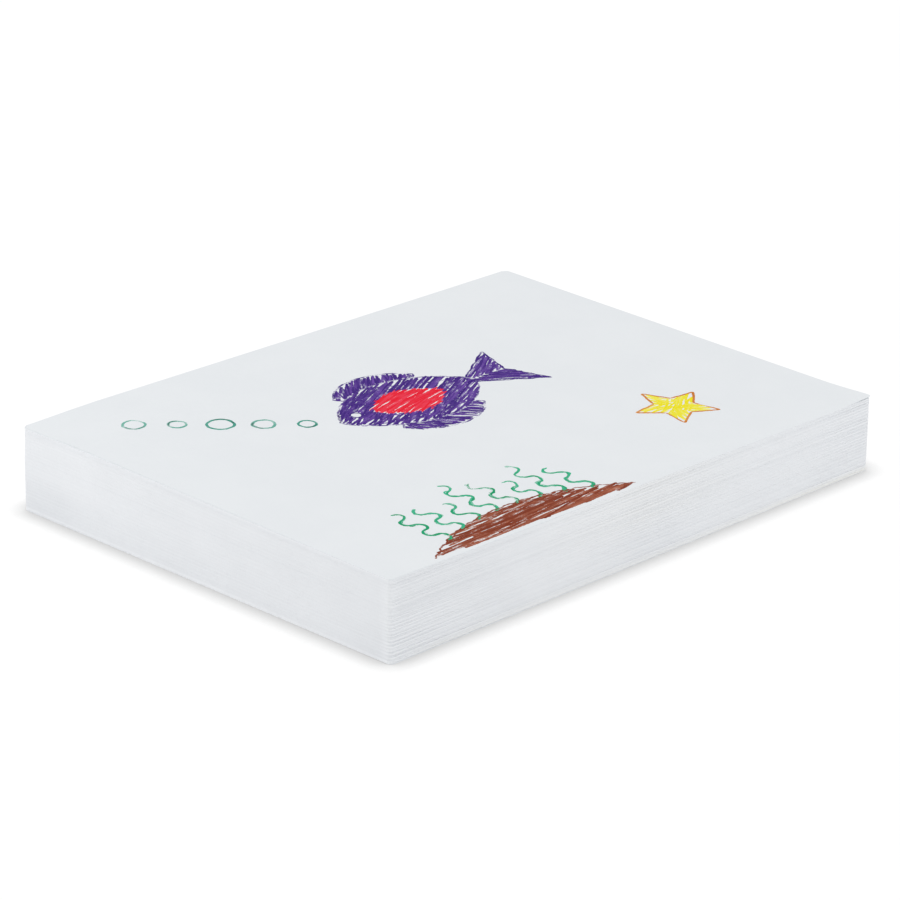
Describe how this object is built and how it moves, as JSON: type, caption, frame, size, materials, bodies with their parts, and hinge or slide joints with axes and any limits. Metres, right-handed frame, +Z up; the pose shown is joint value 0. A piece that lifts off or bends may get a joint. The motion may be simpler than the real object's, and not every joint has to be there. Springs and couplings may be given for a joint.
{
  "type": "pack of drawing paper",
  "caption": "Pile of loose white drawing paper, its sheet edges slipped a little into ridges, with a wax crayon drawing of a fish on the top sheet",
  "frame": {"origin": "on the surface the pack rests on, under the middle of the pack", "axes": "+X along the long edges of the sheets, +Y along the short edges towards the top of the drawing, +Z up through the pile"},
  "size_m": [0.3058, 0.2294, 0.0399],
  "materials": {
    "paper": "matt uncoated white drawing paper with a fine tooth",
    "paper_edges": "guillotined sheet edges in fine lines",
    "purple_wax": "wax crayon, scribbled, the paper's tooth showing through",
    "red_wax": "wax crayon, scribbled, the paper's tooth showing through",
    "teal_wax": "wax crayon line, the paper's tooth showing through",
    "green_wax": "wax crayon line, the paper's tooth showing through",
    "brown_wax": "wax crayon, scribbled, the paper's tooth showing through",
    "yellow_wax": "wax crayon, scribbled, the paper's tooth showing through",
    "orange_wax": "wax crayon line, the paper's tooth showing through"
  },
  "bodies": {
    "root": {"bottom_sheet": "paper", "sheet_block": "paper_edges", "under_sheet": "paper", "top_sheet": "paper", "crayon_fish": "purple_wax", "crayon_fish_patch": "red_wax", "crayon_bubbles": "teal_wax", "crayon_weeds": "green_wax", "crayon_sea_bed": "brown_wax", "crayon_starfish": "yellow_wax", "crayon_starfish_edge": "orange_wax"}
  },
  "joints": []
}
